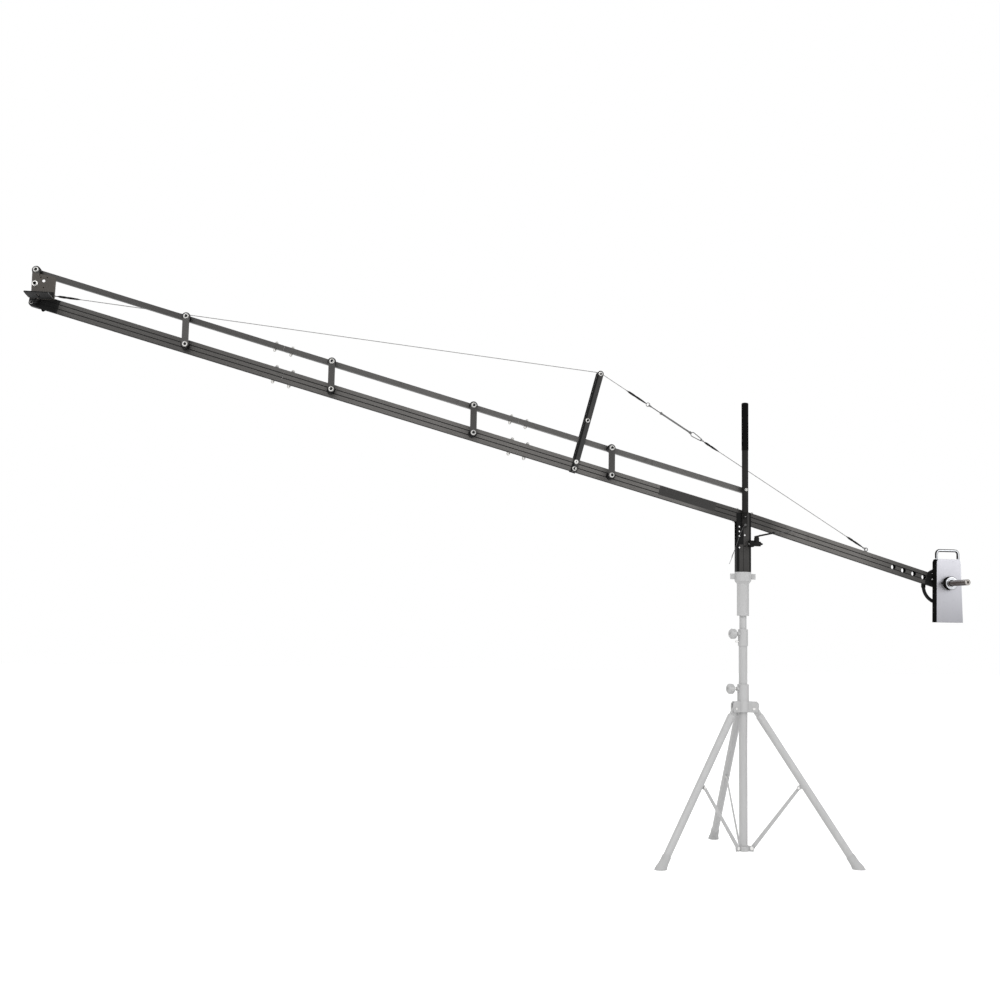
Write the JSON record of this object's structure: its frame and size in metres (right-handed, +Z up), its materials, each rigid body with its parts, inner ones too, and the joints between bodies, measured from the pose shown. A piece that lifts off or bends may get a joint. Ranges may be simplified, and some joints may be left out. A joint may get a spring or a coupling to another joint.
{
  "type": "camera jib crane",
  "caption": "Camera jib crane: sectional boom on a parallelogram linkage with a levelling head, stay and strut, hanging counterweight and a folding tripod stand.",
  "frame": {"origin": "on the floor, under the middle of the bounding box", "axes": "+X along the boom from the camera head to the counterweight, +Y towards the stand's back leg, +Z up"},
  "size_m": [3.959, 0.7732, 2.3457],
  "materials": {
    "boom_anodised": "satin",
    "bar_anodised": "satin",
    "splice_metal": "satin",
    "black_fitting": "satin",
    "strut_black": "satin",
    "bracket_black": "satin",
    "mast_black": "matte",
    "zinc": "bright",
    "wire": "bright",
    "chrome": "polished",
    "rod_chrome": "polished",
    "slab_satin": "satin",
    "stand_paint": "matte paint"
  },
  "bodies": {
    "column": {"stand_column": "stand_paint"},
    "leg_collar": {"leg_collar": "stand_paint"},
    "leg_knob": {"leg_knob": "stand_paint"},
    "height_knob": {"height_knob": "stand_paint"},
    "leg_right": {"leg_right": "stand_paint"},
    "leg_back": {"leg_back": "stand_paint"},
    "leg_left": {"leg_left": "stand_paint"},
    "brace_right": {"brace_right": "stand_paint"},
    "brace_back": {"brace_back": "stand_paint"},
    "brace_left": {"brace_left": "stand_paint"},
    "riser": {"stand_inner_tube": "stand_paint", "stand_adapter": "stand_paint"},
    "fulcrum": {"fulcrum_bracket": "bracket_black", "mast": "mast_black", "tilt_pin": "zinc", "bar_pivot_pin": "zinc", "locking_clip": "zinc"},
    "tilt_brake": {"tilt_brake_lever": "bracket_black"},
    "boom": {"boom_fulcrum_section": "boom_anodised", "boom_middle_section": "boom_anodised", "boom_head_section": "boom_anodised", "boom_tail_section": "boom_anodised", "boom_splice_inner": "splice_metal", "boom_splice_outer": "splice_metal", "boom_splice_fulcrum": "splice_metal", "boom_nose_block": "black_fitting", "link_1_boom_pin": "black_fitting", "link_2_boom_pin": "black_fitting", "link_3_boom_pin": "black_fitting", "link_4_boom_pin": "black_fitting", "head_boom_pin": "black_fitting", "strut_front_plate": "strut_black", "strut_rear_plate": "strut_black", "stay_lug": "black_fitting", "stay_front_cable": "wire", "stay_turnbuckle": "zinc", "stay_rear_cable": "wire", "stay_tail_eye": "zinc", "weight_rod": "rod_chrome", "ring_handle": "black_fitting"},
    "strut_roller": {"strut_roller": "black_fitting"},
    "bar": {"bar_fulcrum_section": "bar_anodised", "bar_middle_section": "bar_anodised", "bar_head_section": "bar_anodised", "bar_splice_inner": "splice_metal", "bar_splice_outer": "splice_metal", "link_1_bar_pin": "black_fitting", "link_2_bar_pin": "black_fitting", "link_3_bar_pin": "black_fitting", "link_4_bar_pin": "black_fitting", "head_bar_pin": "black_fitting"},
    "link_1": {"link_1_plate": "bar_anodised"},
    "link_2": {"link_2_plate": "bar_anodised"},
    "link_3": {"link_3_plate": "bar_anodised"},
    "link_4": {"link_4_plate": "bar_anodised"},
    "head": {"head_link": "strut_black", "head_plate": "strut_black", "camera_plate": "black_fitting"},
    "weight_collar": {"weight_collar": "chrome"},
    "weight_slab": {"weight_slab": "slab_satin"}
  },
  "joints": [
    {"name": "leg_collar_slide", "type": "slide", "parent": "column", "child": "leg_collar", "axis": [0, 0, 1], "range_m": [0, 0.1185]},
    {"name": "leg_right_fold", "type": "hinge", "parent": "leg_collar", "child": "leg_right", "pos_m": [1.03585, -0.13574, 0.619], "axis": [0.5432, 0.8396, 0], "range_deg": [0, 32.1]},
    {"name": "leg_back_fold", "type": "hinge", "parent": "leg_collar", "child": "leg_back", "pos_m": [0.9964, -0.05864, 0.619], "axis": [-0.9987, 0.0506, 0], "range_deg": [0, 32.1]},
    {"name": "leg_left_fold", "type": "hinge", "parent": "leg_collar", "child": "leg_left", "pos_m": [0.94936, -0.13135, 0.619], "axis": [0.4555, -0.8902, 0], "range_deg": [0, 32.1]},
    {"name": "brace_right_fold", "type": "hinge", "parent": "leg_right", "child": "brace_right", "pos_m": [1.18855, -0.23452, 0.30501], "axis": [-0.5432, -0.8396, 0], "range_deg": [0, 68.8]},
    {"name": "brace_back_fold", "type": "hinge", "parent": "leg_back", "child": "brace_back", "pos_m": [1.0056, 0.12299, 0.30501], "axis": [0.9987, -0.0506, 0], "range_deg": [0, 68.8]},
    {"name": "brace_left_fold", "type": "hinge", "parent": "leg_left", "child": "brace_left", "pos_m": [0.78746, -0.21421, 0.30501], "axis": [-0.4555, 0.8902, 0], "range_deg": [0, 68.8]},
    {"name": "leg_knob_turn", "type": "hinge", "parent": "leg_collar", "child": "leg_knob", "pos_m": [0.99387, -0.10858, 0.7015], "axis": [-0.9781, -0.2079, 0], "continuous": true},
    {"name": "height_knob_turn", "type": "hinge", "parent": "column", "child": "height_knob", "pos_m": [0.99387, -0.10858, 0.9325], "axis": [-0.9781, -0.2079, 0], "continuous": true},
    {"name": "riser_slide", "type": "slide", "parent": "column", "child": "riser", "axis": [0, 0, 1], "range_m": [-0.05, 0.25]},
    {"name": "pan", "type": "hinge", "parent": "riser", "child": "fulcrum", "pos_m": [0.99387, -0.10858, 1.195], "axis": [0, 0, 1], "continuous": true},
    {"name": "tilt_brake_turn", "type": "hinge", "parent": "fulcrum", "child": "tilt_brake", "pos_m": [0.99387, -0.14058, 1.315], "axis": [1, 0, 0], "range_deg": [0, 100]},
    {"name": "boom_tilt", "type": "hinge", "parent": "fulcrum", "child": "boom", "pos_m": [0.99387, -0.10858, 1.43], "axis": [0, 1, 0], "range_deg": [-40, 45]},
    {"name": "bar_swing", "type": "hinge", "parent": "fulcrum", "child": "bar", "pos_m": [0.99387, -0.10858, 1.545], "axis": [0, 1, 0], "range_deg": [-40, 45]},
    {"name": "link_1_swing", "type": "hinge", "parent": "boom", "child": "link_1", "pos_m": [0.40479, -0.10858, 1.58685], "axis": [0, 1, 0], "range_deg": [-45, 40]},
    {"name": "link_2_swing", "type": "hinge", "parent": "boom", "child": "link_2", "pos_m": [-0.18428, -0.10858, 1.7437], "axis": [0, 1, 0], "range_deg": [-45, 40]},
    {"name": "link_3_swing", "type": "hinge", "parent": "boom", "child": "link_3", "pos_m": [-0.77336, -0.10858, 1.90055], "axis": [0, 1, 0], "range_deg": [-45, 40]},
    {"name": "link_4_swing", "type": "hinge", "parent": "boom", "child": "link_4", "pos_m": [-1.36243, -0.10858, 2.0574], "axis": [0, 1, 0], "range_deg": [-45, 40]},
    {"name": "head_level", "type": "hinge", "parent": "boom", "child": "head", "pos_m": [-1.95151, -0.10858, 2.21426], "axis": [0, 1, 0], "range_deg": [-45, 40]},
    {"name": "strut_roller_spin", "type": "hinge", "parent": "boom", "child": "strut_roller", "pos_m": [0.35986, -0.10858, 2.02207], "axis": [0, 1, 0], "continuous": true},
    {"name": "weight_collar_slide", "type": "slide", "parent": "boom", "child": "weight_collar", "axis": [0, -1, 0], "range_m": [0, 0.12]},
    {"name": "weight_swing", "type": "hinge", "parent": "weight_collar", "child": "weight_slab", "pos_m": [1.90356, -0.15378, 1.16502], "axis": [0, 1, 0], "continuous": true}
  ],
  "couplings": [
    {"joint": "leg_right_fold", "follows": "leg_collar_slide", "rad_per_m": 4.7145},
    {"joint": "leg_back_fold", "follows": "leg_collar_slide", "rad_per_m": 4.7145},
    {"joint": "leg_left_fold", "follows": "leg_collar_slide", "rad_per_m": 4.7145},
    {"joint": "brace_right_fold", "follows": "leg_collar_slide", "rad_per_m": 10.104},
    {"joint": "brace_back_fold", "follows": "leg_collar_slide", "rad_per_m": 10.104},
    {"joint": "brace_left_fold", "follows": "leg_collar_slide", "rad_per_m": 10.104},
    {"joint": "bar_swing", "follows": "boom_tilt", "ratio": 1},
    {"joint": "link_1_swing", "follows": "boom_tilt", "ratio": -1},
    {"joint": "link_2_swing", "follows": "boom_tilt", "ratio": -1},
    {"joint": "link_3_swing", "follows": "boom_tilt", "ratio": -1},
    {"joint": "link_4_swing", "follows": "boom_tilt", "ratio": -1},
    {"joint": "head_level", "follows": "boom_tilt", "ratio": -1}
  ]
}
